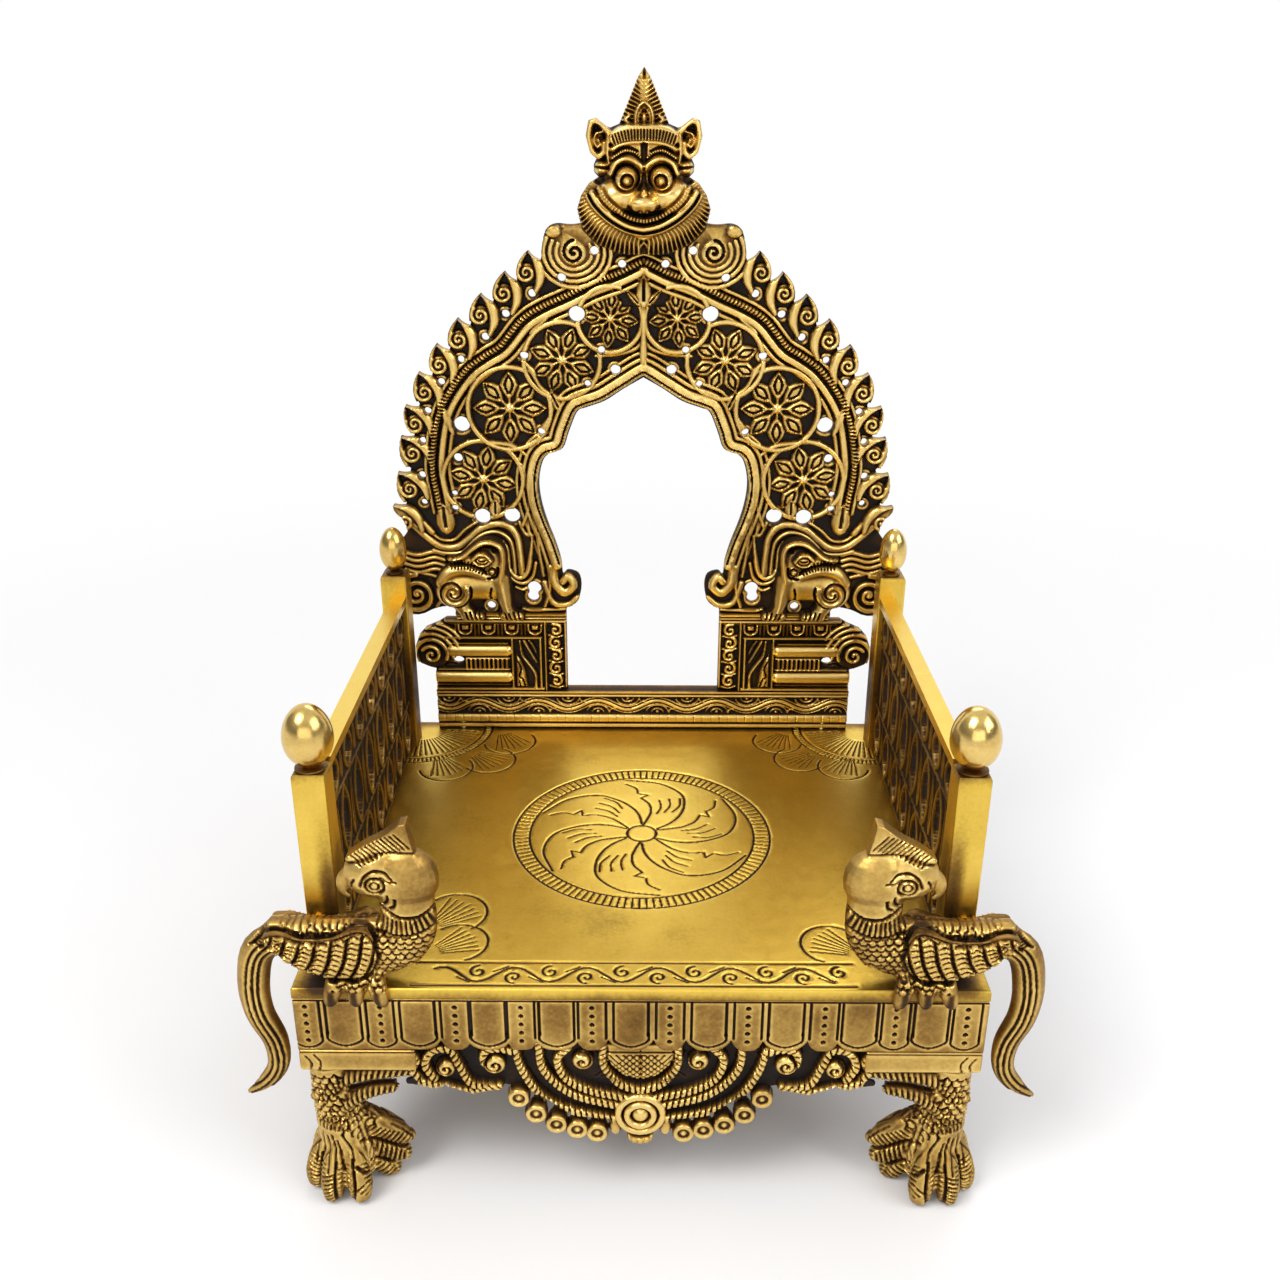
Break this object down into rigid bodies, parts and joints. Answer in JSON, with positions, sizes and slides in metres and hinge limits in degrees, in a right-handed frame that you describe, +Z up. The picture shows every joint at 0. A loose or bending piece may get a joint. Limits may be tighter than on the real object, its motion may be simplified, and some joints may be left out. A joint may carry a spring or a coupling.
{
  "type": "brass deity throne",
  "caption": "Cast brass deity throne: a seat box on paw legs, pierced side panels with egg finials, perched birds and a tall pierced arch back topped by a lion mask.",
  "frame": {"origin": "on the floor under the middle of the seat box", "axes": "+Z up, -Y towards the front where the figure looks out, +X to the viewer's right as seen from the front"},
  "size_m": [0.2382, 0.176, 0.322],
  "materials": {
    "brass": "aged cast brass, rubbed bright on high places with dark patina in the recesses",
    "dark_brass": "heavily patinated brass",
    "steel": "plain zinc-grey fasteners"
  },
  "bodies": {
    "root": {"seat_plate": "brass", "skirt_front": "brass", "skirt_rear": "brass", "skirt_right": "brass", "skirt_left": "brass", "apron_front": "brass", "leg_front_right": "brass", "leg_front_left": "brass", "leg_rear_right": "brass", "leg_rear_left": "brass", "post_front_right": "brass", "post_front_left": "brass", "post_rear_right": "brass", "post_rear_left": "brass", "finial_front_right": "brass", "finial_front_left": "brass", "finial_rear_right": "brass", "finial_rear_left": "brass", "rail_left": "brass", "rail_right_front": "brass", "rail_right_rear": "brass", "sill": "brass", "pedestal_right": "brass", "pedestal_left": "brass", "arch": "brass", "lion_right": "brass", "lion_left": "brass", "mask": "brass", "bird_right": "brass", "bird_left": "brass", "side_panel_right": "dark_brass", "side_panel_left": "dark_brass", "post_nut_front_right": "steel", "post_nut_front_left": "steel", "post_nut_rear_right": "steel", "post_nut_rear_left": "steel", "bird_nut_right": "steel", "bird_nut_left": "steel", "sill_screw_right": "steel", "sill_screw_left": "steel", "mask_rivet_right": "steel", "mask_rivet_left": "steel"}
  },
  "joints": []
}
